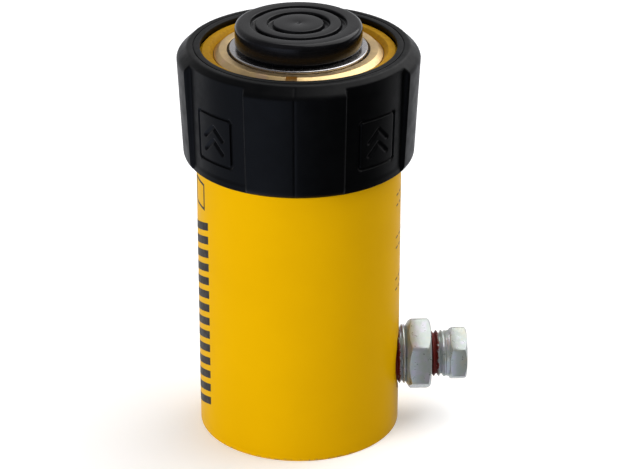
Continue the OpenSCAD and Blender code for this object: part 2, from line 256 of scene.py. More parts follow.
def coat(piece, *materials):
    """Gives a piece its materials in place of any it has."""
    piece.data.materials.clear()
    for material in materials:
        piece.data.materials.append(material)
    return piece


def coat_where(piece, index, test):
    """Gives material number index to the faces whose centre, in millimetres, passes the test."""
    for face in piece.data.polygons:
        if test(face.center / MM):
            face.material_index = index


# Material tools -----------------------------------------------------------------------------

class Finish:
    """One procedural material, with short calls for its nodes. Places are in the object's own metres."""

    def __init__(self, name, colour, metallic=0.0, roughness=0.5, **sockets):
        self.material = bpy.data.materials.new(name)
        self.material.use_nodes = True
        self.tree = self.material.node_tree
        self.shader = self.tree.nodes["Principled BSDF"]
        self.shader.inputs["Base Color"].default_value = (*colour, 1)
        self.shader.inputs["Metallic"].default_value = metallic
        self.shader.inputs["Roughness"].default_value = roughness
        for socket, value in sockets.items():
            self.shader.inputs[socket.replace("_", " ")].default_value = value
        self.place = self.add("ShaderNodeTexCoord").outputs["Object"]
        self.height = None

    def add(self, kind, **settings):
        node = self.tree.nodes.new(kind)
        for name, value in settings.items():
            setattr(node, name, value)
        return node

    def put(self, value, socket):
        if isinstance(value, bpy.types.NodeSocket):
            self.tree.links.new(value, socket)
        else:
            socket.default_value = value

    def math(self, operation, a, b=0.0, clamp=False):
        node = self.add("ShaderNodeMath", operation=operation, use_clamp=clamp)
        self.put(a, node.inputs[0])
        self.put(b, node.inputs[1])
        return node.outputs[0]

    def axes(self):
        """The place's three coordinates."""
        node = self.add("ShaderNodeSeparateXYZ")
        self.put(self.place, node.inputs[0])
        return node.outputs[0], node.outputs[1], node.outputs[2]

    def vector(self, x, y, z):
        node = self.add("ShaderNodeCombineXYZ")
        for value, socket in zip((x, y, z), node.inputs):
            self.put(value, socket)
        return node.outputs[0]

    def length(self, a, b):
        return self.math("SQRT", self.math("ADD", self.math("MULTIPLY", a, a), self.math("MULTIPLY", b, b)))

    def about_z(self):
        """Radius from the cylinder's axis, and height."""
        x, y, z = self.axes()
        return self.length(x, y), z

    def about_port(self):
        """Radius from the port's axis, and distance along it."""
        x, y, z = self.axes()
        up = self.math("SUBTRACT", z, port_z * MM)
        return self.length(y, up), x

    def noise(self, size, detail=3.0, rough=0.55, at=None):
        """Noise from 0 to 1 whose features are about size millimetres across."""
        node = self.add("ShaderNodeTexNoise")
        self.put(at or self.place, node.inputs["Vector"])
        node.inputs["Scale"].default_value = 1 / (size * MM)
        node.inputs["Detail"].default_value = detail
        node.inputs["Roughness"].default_value = rough
        return node.outputs["Fac"]

    def rings(self, size, radius, along):
        """Turning marks: noise that stays the same all round an axis."""
        return self.noise(size, 2, 0.5, at=self.vector(radius, 0.0, along))

    def band(self, value, low, high, out_low=0.0, out_high=1.0):
        """Carries value from the range low to high onto out_low to out_high, and no further."""
        node = self.add("ShaderNodeMapRange")
        for item, socket in zip((value, low, high, out_low, out_high), node.inputs):
            self.put(item, socket)
        return node.outputs[0]

    def mix(self, share, a, b):
        """Colour a where share is 0, and colour b where it is 1."""
        node = self.add("ShaderNodeMix", data_type="RGBA")
        self.put(share, node.inputs["Factor"])
        colours = [socket for socket in node.inputs if socket.type == "RGBA"]
        for value, socket in zip((a, b), colours):
            self.put((*value, 1) if isinstance(value, tuple) and len(value) == 3 else value, socket)
        return next(socket for socket in node.outputs if socket.type == "RGBA")

    def paint(self, colour):
        self.put(colour, self.shader.inputs["Base Color"])

    def rough(self, value):
        self.put(value, self.shader.inputs["Roughness"])

    def bump(self, height, depth, strength=1.0):
        """Adds relief of depth millimetres to what is there."""
        node = self.add("ShaderNodeBump")
        node.inputs["Distance"].default_value = depth * MM
        node.inputs["Strength"].default_value = strength
        self.put(height, node.inputs["Height"])
        if self.height:
            self.put(self.height, node.inputs["Normal"])
        self.height = node.outputs["Normal"]
        self.put(self.height, self.shader.inputs["Normal"])


def yellow_paint():
    """Baked enamel with faint orange peel, painted shade darkening the rim's top, and worn through at the
    foot's edge.
    """
    f = Finish("yellow_enamel", (0.59, 0.32, 0.0), roughness=0.36, Specular_IOR_Level=0.012)
    radius, z = f.about_z()
    drift = f.band(f.noise(28, 2), 0.35, 0.65)
    colour = f.mix(drift, (0.6, 0.328, 0.0), (0.58, 0.315, 0.0))
    grime = f.band(f.noise(2.2, 6, 0.7), 0.62, 0.8, 0, 0.35)
    colour = f.mix(grime, colour, (0.62, 0.33, 0.003))
    # Painted shade: the rim's top, inside radius 26.6 mm and within 1.5 mm of the top, is painted darker to
    # stand for the shade that falls in this recess.
    inside = f.band(radius, 26.6 * MM, 26.9 * MM, 1, 0)
    rim = f.math("MULTIPLY", f.band(z, (rim_z - 2.5) * MM, (rim_z - 1.5) * MM), inside, True)
    painted_rim_shade = f.mix(f.band(f.noise(1.5, 5, 0.7), 0.35, 0.7), (0.45, 0.24, 0.014), (0.34, 0.17, 0.012))
    colour = f.mix(rim, colour, painted_rim_shade)
    foot = f.band(z, 0.0, 0.9 * MM, 1, 0)
    edge = f.math("MULTIPLY", foot, f.band(radius, 27.7 * MM, 28.2 * MM), True)
    worn = f.math("MULTIPLY", edge, f.band(f.noise(1.3, 5, 0.7), 0.5, 0.62), True)
    f.paint(f.mix(worn, colour, (0.16, 0.13, 0.09)))
    f.rough(f.band(f.noise(6, 4), 0.3, 0.7, 0.29, 0.4))
    f.bump(f.noise(1.1, 2), 0.012, 0.5)
    f.bump(f.noise(0.25, 2), 0.004, 0.4)
    return f.material


def moulded_plastic():
    """Satin black moulding with a fine spark-eroded grain and a few pale rubs."""
    f = Finish("moulded_plastic", (0.001, 0.001, 0.0012), roughness=0.4, Specular_IOR_Level=0.12)
    grain = f.noise(0.28, 3, 0.6)
    drift = f.band(f.noise(14, 3), 0.3, 0.7)
    colour = f.mix(drift, (0.0008, 0.0009, 0.0011), (0.0014, 0.0015, 0.0017))
    rub = f.band(f.noise(1.6, 8, 0.75), 0.66, 0.8, 0, 0.5)
    f.paint(f.mix(rub, colour, (0.005, 0.005, 0.0055)))
    f.rough(f.band(f.noise(3.5, 4), 0.3, 0.7, 0.36, 0.5))
    f.bump(grain, 0.012, 0.55)
    f.bump(f.noise(9, 2), 0.03, 0.25)
    return f.material


def black_oxide(name="black_oxide"):
    """Turned steel, blacked and oiled: fine turning rings under a dark sheen."""
    f = Finish(name, (0.009, 0.009, 0.01), roughness=0.25, Specular_IOR_Level=0.2)
    rings = f.rings(0.22, *f.about_z())
    tint = f.band(f.noise(5, 3), 0.35, 0.65)
    colour = f.mix(tint, (0.0025, 0.0025, 0.003), (0.004, 0.004, 0.0045))
    f.paint(f.mix(f.band(rings, 0.62, 0.75, 0, 0.3), colour, (0.025, 0.023, 0.025)))
    f.rough(f.band(f.noise(2.5, 5, 0.65), 0.3, 0.7, 0.14, 0.25))
    f.bump(rings, 0.005, 0.5)
    f.bump(f.noise(0.4, 3), 0.003, 0.4)
    return f.material


def gold_chromate():
    """Yellow chromate on turned steel: tan and speckled on the flat, bright on the edges."""
    f = Finish("gold_chromate", (0.66, 0.46, 0.2), metallic=1.0, roughness=0.36)
    rings = f.rings(0.3, *f.about_z())
    drift = f.band(f.noise(4.5, 4), 0.35, 0.65)
    colour = f.mix(drift, (0.72, 0.52, 0.25), (0.6, 0.43, 0.22))
    speck = f.band(f.noise(0.45, 5, 0.7), 0.58, 0.7, 0, 0.6)
    colour = f.mix(speck, colour, (0.34, 0.24, 0.13))
    rose = f.band(f.noise(7, 2), 0.6, 0.75, 0, 0.4)
    f.paint(f.mix(rose, colour, (0.66, 0.42, 0.36)))
    f.rough(f.band(f.noise(0.8, 4), 0.3, 0.7, 0.3, 0.48))
    f.bump(rings, 0.012, 0.6)
    return f.material


def ground_steel(name="ground_steel", colour=(0.6, 0.585, 0.59), dull=0.0):
    """Ground steel: hairline rings round the axis and a thin film of oil."""
    f = Finish(name, colour, metallic=1.0, roughness=0.24 + dull)
    rings = f.rings(0.16, *f.about_z())
    darker = tuple(0.84 * c for c in colour)
    shade = f.mix(f.band(f.noise(6, 4), 0.3, 0.7), colour, darker)
    f.paint(f.mix(f.band(rings, 0.55, 0.75, 0, 0.4), shade, tuple(0.7 * c for c in colour)))
    f.rough(f.band(f.noise(2.2, 5, 0.65), 0.3, 0.7, 0.18 + dull, 0.32 + dull))
    f.bump(rings, 0.003, 0.5)
    return f.material


def zinc_plate(name, sealant_from, sealant_to):
    """Clear zinc plate with its pale rainbow film, and red sealant between two places along the port."""
    metallic = 0.6
    lost_to_sealant = 0.57
    f = Finish(name, (0.42, 0.44, 0.43), metallic=metallic, roughness=0.34, Specular_IOR_Level=0.4)
    radius, along = f.about_port()
    film = f.noise(3.2, 3, 0.6)
    colour = f.mix(f.band(film, 0.35, 0.5), (0.43, 0.42, 0.47), (0.37, 0.41, 0.39))
    colour = f.mix(f.band(film, 0.55, 0.7, 0, 0.5), colour, (0.46, 0.42, 0.32))
    colour = f.mix(f.band(f.noise(0.9, 6, 0.7), 0.6, 0.75, 0, 0.4), colour, (0.24, 0.25, 0.26))
    rings = f.rings(0.2, radius, along)
    rough = f.band(f.noise(1.4, 5, 0.6), 0.3, 0.7, 0.24, 0.42)
    ragged, soft = 0.5, 0.25
    edge = f.band(f.noise(1.2, 3), 0.3, 0.7, -ragged * MM, ragged * MM)
    place = f.math("ADD", along, edge)
    start = f.band(place, (sealant_from - soft) * MM, sealant_from * MM)
    stop = f.band(place, sealant_to * MM, (sealant_to + soft) * MM, 1, 0)
    seal = f.math("MULTIPLY", start, stop, True)
    colour = f.mix(seal, colour, (0.13, 0.012, 0.008))
    lost = f.math("MULTIPLY", seal, lost_to_sealant)
    f.put(f.math("SUBTRACT", metallic, lost), f.shader.inputs["Metallic"])
    rough = f.math("ADD", rough, f.math("MULTIPLY", seal, 0.15))
    f.bump(f.math("MULTIPLY", seal, f.noise(0.7, 3)), 0.08, 0.6)
    f.paint(colour)
    f.rough(rough)
    f.bump(rings, 0.008, 0.5)
    return f.material


def polymer(name, colour, rough, fleck=None, size=1.0):
    """Rubber or filled plastic: matt, with a cloudy colour and a fine skin."""
    f = Finish(name, colour, roughness=rough, Specular_IOR_Level=0.4)
    other = fleck or tuple(1.5 * c + 0.004 for c in colour)
    f.paint(f.mix(f.band(f.noise(size, 5, 0.65), 0.4, 0.7), colour, other))
    f.rough(f.band(f.noise(1.5, 3), 0.3, 0.7, rough - 0.07, rough + 0.07))
    f.bump(f.noise(0.3, 3), 0.01, 0.5)
    return f.material


def drawn_metal(name, colour, rough):
    """Drawn, cut or forged metal with dark pits and uneven polish."""
    f = Finish(name, colour, metallic=1.0, roughness=rough)
    shade = f.mix(f.band(f.noise(3, 4), 0.35, 0.65), colour, tuple(0.75 * c for c in colour))
    pits = f.band(f.noise(0.5, 5, 0.7), 0.62, 0.72, 0, 0.7)
    f.paint(f.mix(pits, shade, tuple(0.4 * c for c in colour)))
    f.rough(f.band(f.noise(1.8, 4), 0.3, 0.7, rough - 0.08, rough + 0.1))
    f.bump(f.noise(0.35, 3), 0.012, 0.5)
    return f.material


def print_ink():
    """Thin black print, slightly broken where it has rubbed."""
    f = Finish("print_ink", (0.02, 0.015, 0.009), roughness=0.5, Specular_IOR_Level=0.1)
    rubbed = f.band(f.noise(0.6, 6, 0.7), 0.6, 0.8, 0, 0.5)
    f.paint(f.mix(rubbed, (0.018, 0.013, 0.008), (0.09, 0.055, 0.012)))
    f.rough(f.band(f.noise(2, 3), 0.3, 0.7, 0.38, 0.55))
    f.bump(f.noise(0.4, 2), 0.004, 0.4)
    return f.material


def pale_floor():
    """White floor with a faint glow of its own, so that it stays white where the object shades it."""
    f = Finish("pale_floor", (0.9, 0.9, 0.9), roughness=0.8, Specular_IOR_Level=0.1)
    f.paint(f.mix(f.noise(400, 2), (0.89, 0.89, 0.89), (0.91, 0.91, 0.91)))
    f.shader.inputs["Emission Color"].default_value = (1, 1, 1, 1)
    f.shader.inputs["Emission Strength"].default_value = 0.22
    return f.material


# Body ---------------------------------------------------------------------------------------

def make_body():
    angles = turned_angles(240)
    passage_r, recess_r, bore_r = 4.25, 7.3, 21.45
    hole_r, hole_y = 3.3, 19.8
    port_r, port_end = 8.45, 15.5
    spot_r, spot_x = 9.9, 27.8
    recess_z = washer_high.z
    thread_r = ring_high.x + 0.12
    rows = [(passage_r, recess_z), (recess_r, recess_z), (recess_r, 0.4)]
    rows += [(7.7, 0.0), (8.2, 0.0), (body_r - 0.8, 0.0)]
    rows += arc(body_r - 0.3, 0.3, 0.3, -90, 0, 4)
    rows += [(body_r, z) for z in (1.2, 7.0, 31.0, 60.0, collar_z - 0.4)]
    rows += thread_rows(body_r, collar_z, collar_top, collar_pitch, 1.0, angles, 12)
    rows += arc(26.3, rim_z - 0.35, 0.35, 45, 90, 3) + arc(24.75, rim_z - 0.3, 0.3, 90, 135, 3)
    rows += [(thread_r + 0.05, rim_z - 1.15), (thread_r, rim_z - 1.3)]
    rows += ridges(thread_r, 0.7, rim_z - 1.6, -0.75, 16)
    rows += [(thread_r, ring_low.z), (bore_r, ring_low.z), (bore_r, floor_z), (passage_r, floor_z)]
    body = lathe("body_shell", rows, angles, closed=True)

    port_rows = [(0, port_end), (8.0, port_end), (port_r, spot_x), (spot_r, spot_x), (spot_r, 36), (0, 36)]
    port = lathe("port_cutter", port_rows, turned_angles(96))
    lay_along_port(port)
    cutters = [port]
    hole_rows = [(0, 13.6), (hole_r, 12.7), (hole_r, 0.5), (3.9, -0.1), (3.9, -1), (0, -1)]
    for side in (-1, 1):
        hole = lathe("base_cutter", hole_rows, turned_angles(48))
        hole.data.transform(Matrix.Translation((0, side * hole_y * MM, 0)))
        cutters.append(hole)
    carve(body, cutters, 38)
    # The port's flat meets the round wall at too small an angle to be found sharp, so its place decides.
    for edge in body.data.edges:
        ends = [body.data.vertices[end].co.x / MM for end in edge.vertices]
        edge.use_edge_sharp = edge.use_edge_sharp or max(abs(x - spot_x) for x in ends) < 0.02
    coat(body, yellow_paint(), ground_steel("bare_bore", (0.4, 0.39, 0.38), 0.12))

    def bare(place):
        """Whether paint was kept off a place: the bore, the screw's recess, the base holes and the port."""
        radius = math.hypot(place.x, place.y)
        in_bore = radius < thread_r + 0.02 and place.z > 5
        in_recess = radius < recess_r - 0.1 and place.z > 0.3
        in_hole = math.hypot(place.x, abs(place.y) - hole_y) < hole_r + 0.05 and place.z < 14
        in_port = math.hypot(place.y, place.z - port_z) < port_r - 0.03 and 15 < place.x < spot_x - 0.1
        return radius < body_r - 0.1 and (in_bore or in_recess or in_hole or in_port)

    coat_where(body, 1, bare)
    return stands_for(body, "cylinder_body")


def make_stop_ring():
    slot_turns = (-96.3, 83.7)
    slot_half = math.degrees(1.5 / 22.2)
    slot_depth = 2.6
    slot_wall = 0.12
    top = ring_high.z
    inner = 21.3
    fit_r, wiper_r, bearing_r, clear = rod_r + 0.15, 21.4, 20.6, 0.1

    def from_slot(degrees):
        """Angle to the nearest slot's middle."""
        return min(abs((degrees - turn + 180) % 360 - 180) for turn in slot_turns)

    edges = []
    for turn in slot_turns:
        edges += [turn - slot_half - slot_wall, turn - slot_half]
        edges += [turn + slot_half, turn + slot_half + slot_wall]
    kept = [a for a in np.arange(0, 360, 2.5) if abs(from_slot(a) - slot_half) > 0.6]
    columns = sorted(a % 360 for a in kept + edges)
    sunk = np.array([slot_depth if from_slot(a) <= slot_half + 0.01 else 0.0 for a in columns])

    rows = [(fit_r, ring_low.z), (22.3, ring_low.z)]
    rows += ridges(ring_high.x, 0.8, ring_low.z + 0.4, 0.75, 16, 1)
    skirt = [(ring_high.x, top - 1.7)]
    skirt += arc(23.0, top - 1.5, 0.3, 0, 60, 3) + arc(21.75, top - 0.25, 0.25, 55, 90, 3)
    rows += [(r, np.minimum(z, top - sunk) if r > inner else z) for r, z in skirt]
    rows += [(inner + 0.06, top - sunk), (inner, top)]
    rows += arc(rod_r + 0.75, top - 0.2, 0.2, 90, 180, 3)
    rows += [(rod_r + 0.5, wiper_high.z + clear), (wiper_r, wiper_high.z + clear)]
    rows += [(wiper_r, wiper_low.z - clear), (fit_r, wiper_low.z - clear)]
    rows += [(fit_r, bearing_high.z + clear), (bearing_r, bearing_high.z + clear)]
    rows += [(bearing_r, bearing_low.z - clear), (fit_r, bearing_low.z - clear)]
    ring = lathe("gland_ring", rows, np.radians(columns), closed=True, sharp=32)
    coat(ring, gold_chromate(), polymer("slot_grime", (0.035, 0.02, 0.008), 0.55, (0.09, 0.055, 0.02), 0.8))
    coat_where(ring, 1, lambda place: place.z < top - 2.4 and math.hypot(place.x, place.y) > inner + 0.1)
    return stands_for(ring, "stop_ring")


# Plunger and saddle -------------------------------------------------------------------------

def make_plunger():
    head_r, head_z = plunger_high.x, plunger_low.z
    grooves = [(head_z + 1.8, head_z + 8.8, 17.2), (head_z + 10.2, head_z + 14.8, 19.6)]
    shoulder_z = 45.4
    socket_r, socket_pitch = 12.72, INCH / 16
    hollow_r = 13.5
    web_r, web_low, web_high = 10.7, 84, 90
    rows = [(13.9, head_z), (head_r - 0.8, head_z), (head_r, head_z + 0.8)]
    for low, high, root in grooves:
        rows += [(head_r, low), (root, low), (root, high), (head_r, high)]
    rows += [(head_r, shoulder_z - 0.5), (head_r - 0.5, shoulder_z), (rod_r, shoulder_z), (rod_r, 80)]
    rows += arc(rod_r - 0.35, plunger_top - 0.35, 0.35, 0, 90, 5)
    rows += [(socket_r + 0.4, plunger_top), (socket_r, plunger_top - 0.5), (socket_r, plunger_top - 1)]
    rows += ridges(socket_r, 1.6, plunger_top - 1.8, -socket_pitch, 14, 1)
    rows += [(socket_r, web_high), (web_r, web_high), (web_r, web_low + 1)]
    rows += [(hollow_r, web_low - 1.6), (hollow_r, head_z + 0.4)]
    plunger = lathe("plunger_rod", rows, turned_angles(192), closed=True, sharp=32)
    coat(plunger, ground_steel())
    return stands_for(plunger, "plunger")


def make_saddle():
    foot, head, top = saddle_low.z, saddle_high.x, saddle_high.z
    under = plunger_top
    groove_z = top - 1.3
    shank_r = 10.9
    clip_r, clip_low, clip_high = 9.1, 105.0, 107.1
    rows = [(0, foot), (shank_r - 1, foot), (shank_r, foot + 1)]
    rows += [(shank_r, clip_low), (clip_r, clip_low), (clip_r, clip_high), (shank_r, clip_high)]
    rows += [(shank_r, under - 1.4), (10.5, under - 1), (10.5, under), (head - 1.1, under)]
    rows += arc(head - 1.1, under + 0.1, 0.1, -90, -50, 2) + arc(head - 0.25, under + 1.2, 0.25, -50, 0, 3)
    rows += arc(head - 1.45, top - 1.45, 1.45, 0, 90, 8)
    for outer, inner in ((13.35, 11.6), (8.75, 6.8)):
        rows += arc(outer + 0.25, top - 0.3, 0.3, 90, 160, 4)
        rows += arc(outer - 0.45, groove_z + 0.35, 0.35, -20, -90, 4)
        rows += arc(inner + 0.5, groove_z + 0.35, 0.35, -90, -160, 4)
        rows += arc(inner - 0.25, top - 0.3, 0.3, 20, 90, 4)
    rows += [(1.1, top), (0.6, top - 0.1), (0, top - 0.4)]
    saddle = lathe("grooved_saddle", rows, turned_angles(192), sharp=50)
    coat(saddle, black_oxide())
    return stands_for(saddle, "saddle")


# Thread protector ---------------------------------------------------------------------------

GUARD_TURN = -3.2  # degrees, the middle of the first raised pad
PAD_HALF = 24.0  # degrees, half a pad's width
WALL_SPAN = 1.9  # degrees, width of the wall at a pad's side
EMBLEM_HALF = 12.6  # degrees, half the width that is meshed finely for a mark
EMBLEM_R = 31.5
EMBLEM_Z = 95.6
PANEL_R = 31.4  # radius between the pads, at the marks' height
SEAM_DEPTH = 0.1


def guard_degrees():
    """Column angles of the protector, close together at pad walls, parting lines and marks."""
    half = [0.0, 0.22, 0.5, 1.5]
    half += list(np.arange(3.5, PAD_HALF - 1.5, 3.0))
    half += list(np.arange(PAD_HALF - 0.6, PAD_HALF + WALL_SPAN + 0.7, 0.4))
    half += list(np.linspace(PAD_HALF + WALL_SPAN + 1.8, 45 - EMBLEM_HALF - 0.4, 3))
    half += list(np.arange(45 - EMBLEM_HALF, 44.9, 0.45)) + [45.0]
    quarter = sorted({round(-a, 4) for a in half[1:-1]} | {round(a, 4) for a in half})
    return np.array([GUARD_TURN + 90 * k + a for k in range(4) for a in quarter])


def segment_distance(x, y, start, end):
    """Distance of points to a straight line between two points."""
    dx, dy = end[0] - start[0], end[1] - start[1]
    share = np.clip(((x - start[0]) * dx + (y - start[1]) * dy) / (dx * dx + dy * dy), 0, 1)
    return np.hypot(x - start[0] - share * dx, y - start[1] - share * dy)


def emblem_depth(x, y):
    """Depth of the generic mark: a rounded frame round two arrow heads, in millimetres."""
    half_w, half_h, corner, line, depth = 6.4, 7.0, 1.0, 0.36, 0.5
    arrow_w, arrow_h, thicken = 3.3, 3.2, 0.1
    qx = np.abs(x) - (half_w - corner)
    qy = np.abs(y) - (half_h - corner)
    outside = np.hypot(np.maximum(qx, 0), np.maximum(qy, 0)) + np.minimum(np.maximum(qx, qy), 0) - corner
    nearest = np.abs(outside)
    for rise in (-3.0, 0.9):
        for side in (-1, 1):
            tip = rise + 2.6
            arm = segment_distance(x, y, (0, tip), (arrow_w * side, tip - arrow_h))
            nearest = np.minimum(nearest, arm - thicken)
    return depth * (1 - smoothstep(line - 0.16, line + 0.16, nearest))


def make_guard():
    degrees = guard_degrees()
    angles = np.radians(degrees)
    from_pad = np.abs((degrees - GUARD_TURN + 45) % 90 - 45)
    panel = smoothstep(PAD_HALF, PAD_HALF + WALL_SPAN, from_pad)
    on_seam = np.abs((degrees - GUARD_TURN + 90 + 90) % 180 - 90)
    seam = np.clip(1 - on_seam / 0.5, 0, 1)
    emblem_x = np.radians((degrees - GUARD_TURN) % 90 - 45) * EMBLEM_R
    foot, lip, outer = guard_low.z, guard_high.z, guard_high.y
    bore = body_r + 0.08
    inner = bore - 1.6
    line_r = inner + 1.85
    foot_round = 2.6
    straight_top = lip - 3.5
    slope = 1.35 / (straight_top - foot - foot_round)

    def pad_radius(z):
        """Radius over a pad: drafted wall and 45 degree shoulder, joined by a round."""
        wall = outer + slope * min(0.0, z - straight_top)
        shoulder = outer - 0.49 + (lip - 2.35 - z) * 1.036
        return soft_min(wall, shoulder, 0.8)

    def wall_row(z):
        """Row of the outer wall, with its pads, panels, marks and parting line."""
        over_pad = pad_radius(z)
        flat = PANEL_R + 0.03 * (z - EMBLEM_Z)
        over_panel = soft_min(over_pad, flat, 0.3)
        radius = over_pad + (over_panel - over_pad) * panel
        mark = emblem_depth(emblem_x, z - EMBLEM_Z) if abs(z - EMBLEM_Z) < 8 else 0.0
        return (radius - mark * panel - SEAM_DEPTH * seam, z)

    waist = pad_radius(foot + foot_round)
    rows = [(bore + 0.5, foot), (bore + 1.1, foot)]
    for r, z in arc(waist - foot_round, foot + foot_round, foot_round, -75, -8, 8):
        rows.append((r - max(0.0, r - 31.2) * panel - SEAM_DEPTH * seam, z))
    heights = list(np.arange(foot + foot_round, EMBLEM_Z - 7.6, 0.7))
    heights += list(np.arange(EMBLEM_Z - 7.5, EMBLEM_Z + 7.6, 0.25))
    heights += list(np.arange(EMBLEM_Z + 8.1, lip - 4.6, 0.8))
    heights += list(np.arange(lip - 4.5, lip - 0.4, 0.16))
    rows += [wall_row(z) for z in heights]
    rows += arc(30.1, lip - 1.2, 1.2, 48, 90, 6)
    groove = [(0.35, 0), (0.15, 0.05), (0.06, 0.3), (-0.06, 0.3), (-0.15, 0.05), (-0.35, 0)]
    rows += [(line_r + aside, lip - sunk) for aside, sunk in groove]
    rows += arc(inner + 0.3, lip - 0.3, 0.3, 90, 180, 4)
    rows += [(inner, lip - 1.4), (bore, lip - 2.9)]
    rows += list(reversed(thread_rows(bore, collar_z, collar_top - 0.2, collar_pitch, -0.55, angles, 5)))
    rows += [(bore, foot + 0.5)]
    guard = lathe("collar_guard", rows, angles, closed=True, sharp=50)
    coat(guard, moulded_plastic())
    return stands_for(guard, "thread_protector")


# Port fitting -------------------------------------------------------------------------------

def make_bushing():
    corner = 56
    angles = turned_angles(180, corner)
    hex_flats = 19.05
    hex_from, hex_to = bushing_high.x - 6.5, bushing_high.x
    crest = 8.16
    mouth = 6.68
    bore = 4.0
    rows = [(bore, bushing_low.x), (7.2, bushing_low.x)]
    rows += thread_rows(crest, bushing_low.x + 0.4, hex_from - 1.0, pipe_pitch, 0.9, angles, 10, pipe_taper)
    rows += [(crest - 0.25, hex_from - 0.85), (crest + 0.1, hex_from - 0.55), (9.0, hex_from - 0.1)]
    rows += hexagon_rows(hex_flats, hex_from, hex_to, angles, corner)[:-1]
    rows += [(mouth + 0.75, hex_to), (mouth + 0.5, hex_to - 0.15)]
    socket = thread_rows(mouth - 0.26, hex_to - 8.3, hex_to - 0.4, pipe_pitch, -0.7, angles, 8, pipe_taper)
    rows += list(reversed(socket))
    rows += [(mouth - 0.28, hex_to - 8.6), (bore, hex_to - 8.8)]
    bushing = lay_along_port(lathe("reducer_bushing", rows, angles, closed=True))
    coat(bushing, zinc_plate("zinc_bushing", 20.0, 28.5))
    return stands_for(bushing, "port_bushing")


def make_plug():
    corner = 58
    angles = turned_angles(180, corner)
    hex_flats = 14.3
    hex_from, hex_to = plug_high.x - 5.2, plug_high.x - 0.25
    start = 6.41
    drilled = 3.2
    rows = [(0, plug_low.x + 8.5), (drilled, plug_low.x + 7.5)]
    rows += [(drilled, plug_low.x), (start - 1.0, plug_low.x)]
    rows += thread_rows(start, plug_low.x + 0.4, hex_from - 1.2, pipe_pitch, 0.85, angles, 10, pipe_taper)
    rows += [(6.5, hex_from - 1.0), (6.55, hex_from - 0.7), (6.75, hex_from - 0.1)]
    rows += hexagon_rows(hex_flats, hex_from, hex_to, angles, corner, 0.25)
    rows += [(0, plug_high.x)]
    plug = lay_along_port(lathe("pipe_plug", rows, angles))
    coat(plug, zinc_plate("zinc_plug", 36.0, 39.6))
    return stands_for(plug, "port_plug")


# Return spring ------------------------------------------------------------------------------

def make_spring():
    """Extension spring with a hook round each pin."""
    wire = 1.3
    coil_r = coil_high.x - wire
    pitch = 2.75
    half_turns = 5 + 230 / 360
    hook = 3.2
    steps = 32
    middle = (lower_pin_z + upper_pin_z) / 2
    top = upper_pin_z + hook
    turns = np.arange(round(half_turns * steps) + 1) / steps
    around = turns * 2 * math.pi + math.pi / 2
    coil = np.stack([coil_r * np.cos(around), coil_r * np.sin(around), middle + turns * pitch], axis=1)
    end = coil[-1]
    heading = np.array([-end[1], end[0], 1.0]) / math.hypot(end[0], end[1])
    reach = [end, end + 6 * heading, np.array([6.0, 0, top]), np.array([0.0, 0, top])]
    share = np.linspace(0, 1, 17)[1:, None]
    bend = (1 - share) ** 3 * reach[0] + 3 * (1 - share) ** 2 * share * reach[1]
    bend = bend + 3 * (1 - share) * share ** 2 * reach[2] + share ** 3 * reach[3]
    swing = np.radians(np.linspace(90, 180, 17)[1:])
    loop = np.stack([hook * np.cos(swing), 0 * swing, upper_pin_z + hook * np.sin(swing)], axis=1)
    upper = np.concatenate([coil, bend, loop, [[-hook, 0, upper_pin_z - 2.2]]])
    lower = upper[:0:-1] * (-1, 1, -1) + (0, 0, 2 * middle)
    line = np.concatenate([lower, upper])

    sides = 12
    ahead = np.gradient(line, axis=0)
    ahead /= np.linalg.norm(ahead, axis=1)[:, None]
    out = np.where(np.hypot(line[:, 0], line[:, 1])[:, None] < 9, (0, 1, 0), line * (1, 1, 0))
    side = np.cross(ahead, out)
    side /= np.linalg.norm(side, axis=1)[:, None]
    up = np.cross(side, ahead)
    spin = turned_angles(sides)
    around_wire = np.cos(spin)[:, None] * side[:, None] + np.sin(spin)[:, None] * up[:, None]
    rings = line[:, None] + wire * around_wire
    points = [tuple(p) for p in rings.reshape(-1, 3) * MM]
    faces = [
        (i * sides + k, i * sides + (k + 1) % sides, (i + 1) * sides + (k + 1) % sides, (i + 1) * sides + k)
        for i in range(len(line) - 1) for k in range(sides)
    ]
    faces += [tuple(range(sides)), tuple(range(len(points) - sides, len(points)))]
    spring = mesh_piece("extension_spring", points, faces)
    coat(spring, drawn_metal("spring_wire", (0.17, 0.17, 0.18), 0.38))
    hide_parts("return_spring")
    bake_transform(spring)
    return spring


# Printed marks on the body ------------------------------------------------------------------

def printed_patches(name, patches):
    """Thin ink patches wrapped round the body. A patch is four corners of (degrees round, height)."""
    points, faces = [], []
    for corners in patches:
        (a0, z0), (a1, z1), (a2, z2), (a3, z3) = corners
        steps = max(1, math.ceil(max(abs(a1 - a0), abs(a2 - a3)) / 1.5))
        base = len(points)
        for radius in (body_r - 0.05, body_r + 0.025):
            for i in range(steps + 1):
                share = i / steps
                for angle, z in ((a0 + (a1 - a0) * share, z0 + (z1 - z0) * share),
                                 (a3 + (a2 - a3) * share, z3 + (z2 - z3) * share)):
                    turn = math.radians(angle)
                    points.append((radius * math.cos(turn) * MM, radius * math.sin(turn) * MM, z * MM))
        layer = 2 * (steps + 1)
        for i in range(steps):
            a, b, c, d = (base + 2 * i + k for k in (0, 1, 3, 2))
            faces += [(a, b, c, d), (a + layer, d + layer, c + layer, b + layer)]
            faces += [(a, d, d + layer, a + layer), (b, b + layer, c + layer, c)]
        first, last = base, base + 2 * steps
        faces += [(first, first + layer, first + 1 + layer, first + 1)]
        faces += [(last, last + 1, last + 1 + layer, last + layer)]
    marks = mesh_piece(name, points, faces)
    coat(marks, print_ink())
    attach(marks, "cylinder")
    return marks


